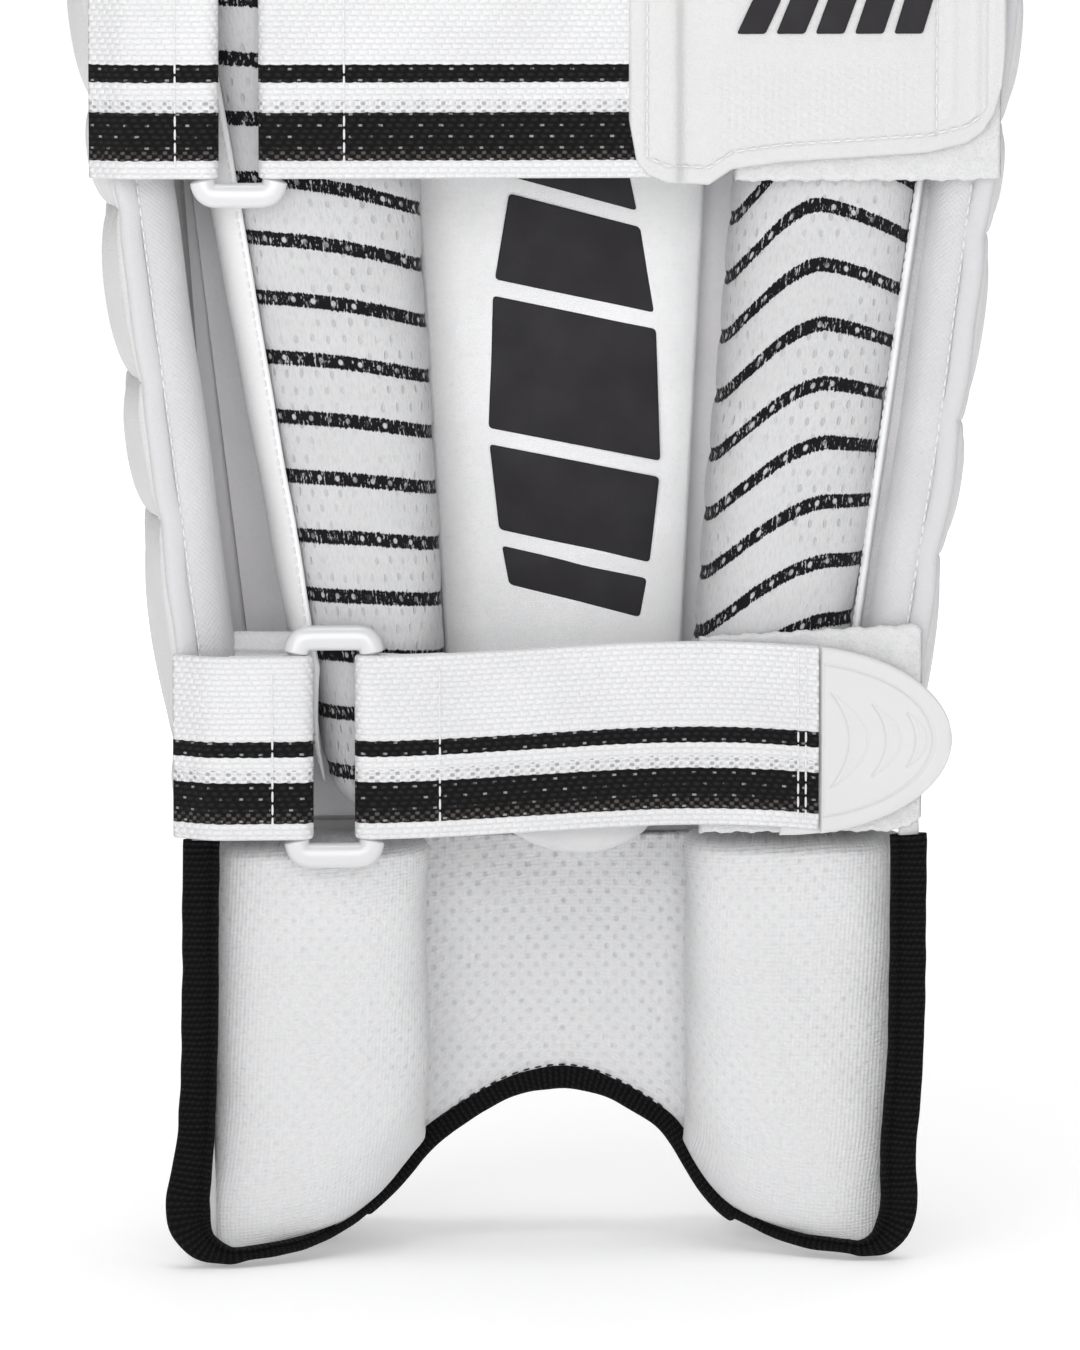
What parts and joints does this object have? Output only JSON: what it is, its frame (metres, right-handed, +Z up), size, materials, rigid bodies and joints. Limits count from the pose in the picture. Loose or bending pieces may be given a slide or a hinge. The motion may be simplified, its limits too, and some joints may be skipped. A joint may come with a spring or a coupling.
{
  "type": "cricket leg pad",
  "caption": "Adult cricket batting leg pad with padded side wings, rolled front, knee rolls, top hat and ring-and-tab straps.",
  "frame": {"origin": "on the floor, at the bottom centre of the pad's bounding box", "axes": "+Z up the pad, +Y towards the strike face, -Y the leg side with the straps, +X to the right as seen from the leg side"},
  "size_m": [0.2604, 0.1085, 0.777],
  "materials": {
    "pu_white": "smooth satin white synthetic leather over foam",
    "pu_trim": "smooth satin white synthetic leather",
    "board": "plain stiff sheet",
    "cane": "bare cane",
    "lining": "smooth brushed lining",
    "knit_mesh": "fine knit with black ragged stripes",
    "spacer_mesh": "open spacer mesh",
    "black_tape": "ribbed woven tape",
    "webbing": "basket weave webbing with black and grey stripes",
    "ring_plastic": "glossy moulded",
    "tab_plastic": "matte moulded with grooves",
    "hook": "hook tape",
    "loop": "brushed loop pile"
  },
  "bodies": {
    "shin_guard": {"shin_roll_1": "pu_white", "shin_roll_2": "pu_white", "shin_roll_3": "pu_white", "shin_roll_4": "pu_white", "shin_roll_5": "pu_white", "shin_roll_6": "pu_white", "shin_roll_7": "pu_white", "left_wing": "pu_white", "right_wing": "pu_white", "left_piping": "pu_trim", "right_piping": "pu_trim", "left_gusset": "pu_trim", "right_gusset": "pu_trim", "shin_board": "board", "shin_canes": "cane", "left_wall_lining": "lining", "right_wall_lining": "lining", "back_lining": "lining", "centre_panel": "lining", "boot_shell": "lining", "left_bolster": "knit_mesh", "right_bolster": "knit_mesh", "boot_left_pad": "spacer_mesh", "boot_right_pad": "spacer_mesh", "boot_arch_pad": "spacer_mesh", "left_binding": "black_tape", "right_binding": "black_tape", "arch_binding": "black_tape", "ankle_anchor": "webbing", "calf_anchor": "webbing", "ankle_loop_patch": "loop", "calf_loop_patch": "loop"},
    "knee_lower": {"knee_roll_lower": "pu_white", "knee_cushion_lower": "knit_mesh"},
    "knee_middle": {"knee_roll_middle": "pu_white", "knee_cushion_middle": "knit_mesh"},
    "top_hat": {"knee_roll_upper": "pu_white", "knee_cushion_upper": "knit_mesh", "top_hat_board": "board", "top_hat_rolls": "pu_white", "top_hat_lining": "lining", "top_hat_binding": "pu_trim", "thigh_left_wing": "pu_white", "thigh_right_wing": "pu_white", "thigh_anchor": "webbing", "thigh_loop_patch": "loop"},
    "ankle_buckle": {"ankle_ring": "ring_plastic"},
    "ankle_fastener": {"ankle_strap": "webbing", "ankle_tab": "tab_plastic", "ankle_hook_patch": "hook"},
    "calf_buckle": {"calf_ring": "ring_plastic"},
    "calf_fastener": {"calf_strap": "webbing", "calf_tab": "pu_white", "calf_hook_patch": "hook"},
    "thigh_buckle": {"thigh_ring": "ring_plastic"},
    "thigh_fastener": {"thigh_strap": "webbing", "thigh_tab": "tab_plastic", "thigh_hook_patch": "hook"}
  },
  "joints": [
    {"name": "knee_flex_low", "type": "hinge", "parent": "shin_guard", "child": "knee_lower", "pos_m": [0, 0.0143, 0.392], "axis": [1, 0, 0], "range_deg": [0, 8], "stiffness_Nm_per_rad": 12},
    {"name": "knee_flex_mid", "type": "hinge", "parent": "knee_lower", "child": "knee_middle", "pos_m": [0, 0.0143, 0.432], "axis": [1, 0, 0], "range_deg": [0, 8], "stiffness_Nm_per_rad": 12},
    {"name": "knee_flex_high", "type": "hinge", "parent": "knee_middle", "child": "top_hat", "pos_m": [0, 0.0143, 0.472], "axis": [1, 0, 0], "range_deg": [0, 8], "stiffness_Nm_per_rad": 12},
    {"name": "ankle_ring_swing", "type": "hinge", "parent": "shin_guard", "child": "ankle_buckle", "pos_m": [-0.066, -0.0522, 0.1375], "axis": [0, 0, -1], "range_deg": [0, 35]},
    {"name": "ankle_strap_open", "type": "hinge", "parent": "ankle_buckle", "child": "ankle_fastener", "pos_m": [-0.0465, -0.0522, 0.1375], "axis": [0, 0, -1], "range_deg": [0, 110]},
    {"name": "calf_ring_swing", "type": "hinge", "parent": "shin_guard", "child": "calf_buckle", "pos_m": [-0.09, -0.0522, 0.32], "axis": [0, 0, -1], "range_deg": [0, 35]},
    {"name": "calf_strap_open", "type": "hinge", "parent": "calf_buckle", "child": "calf_fastener", "pos_m": [-0.071, -0.0522, 0.32], "axis": [0, 0, -1], "range_deg": [0, 110]},
    {"name": "thigh_ring_swing", "type": "hinge", "parent": "top_hat", "child": "thigh_buckle", "pos_m": [-0.09, -0.0427, 0.558], "axis": [0, 0, -1], "range_deg": [0, 35]},
    {"name": "thigh_strap_open", "type": "hinge", "parent": "thigh_buckle", "child": "thigh_fastener", "pos_m": [-0.071, -0.0427, 0.558], "axis": [0, 0, -1], "range_deg": [0, 110]}
  ],
  "couplings": [
    {"joint": "knee_flex_mid", "follows": "knee_flex_low", "ratio": 1},
    {"joint": "knee_flex_high", "follows": "knee_flex_low", "ratio": 1}
  ]
}
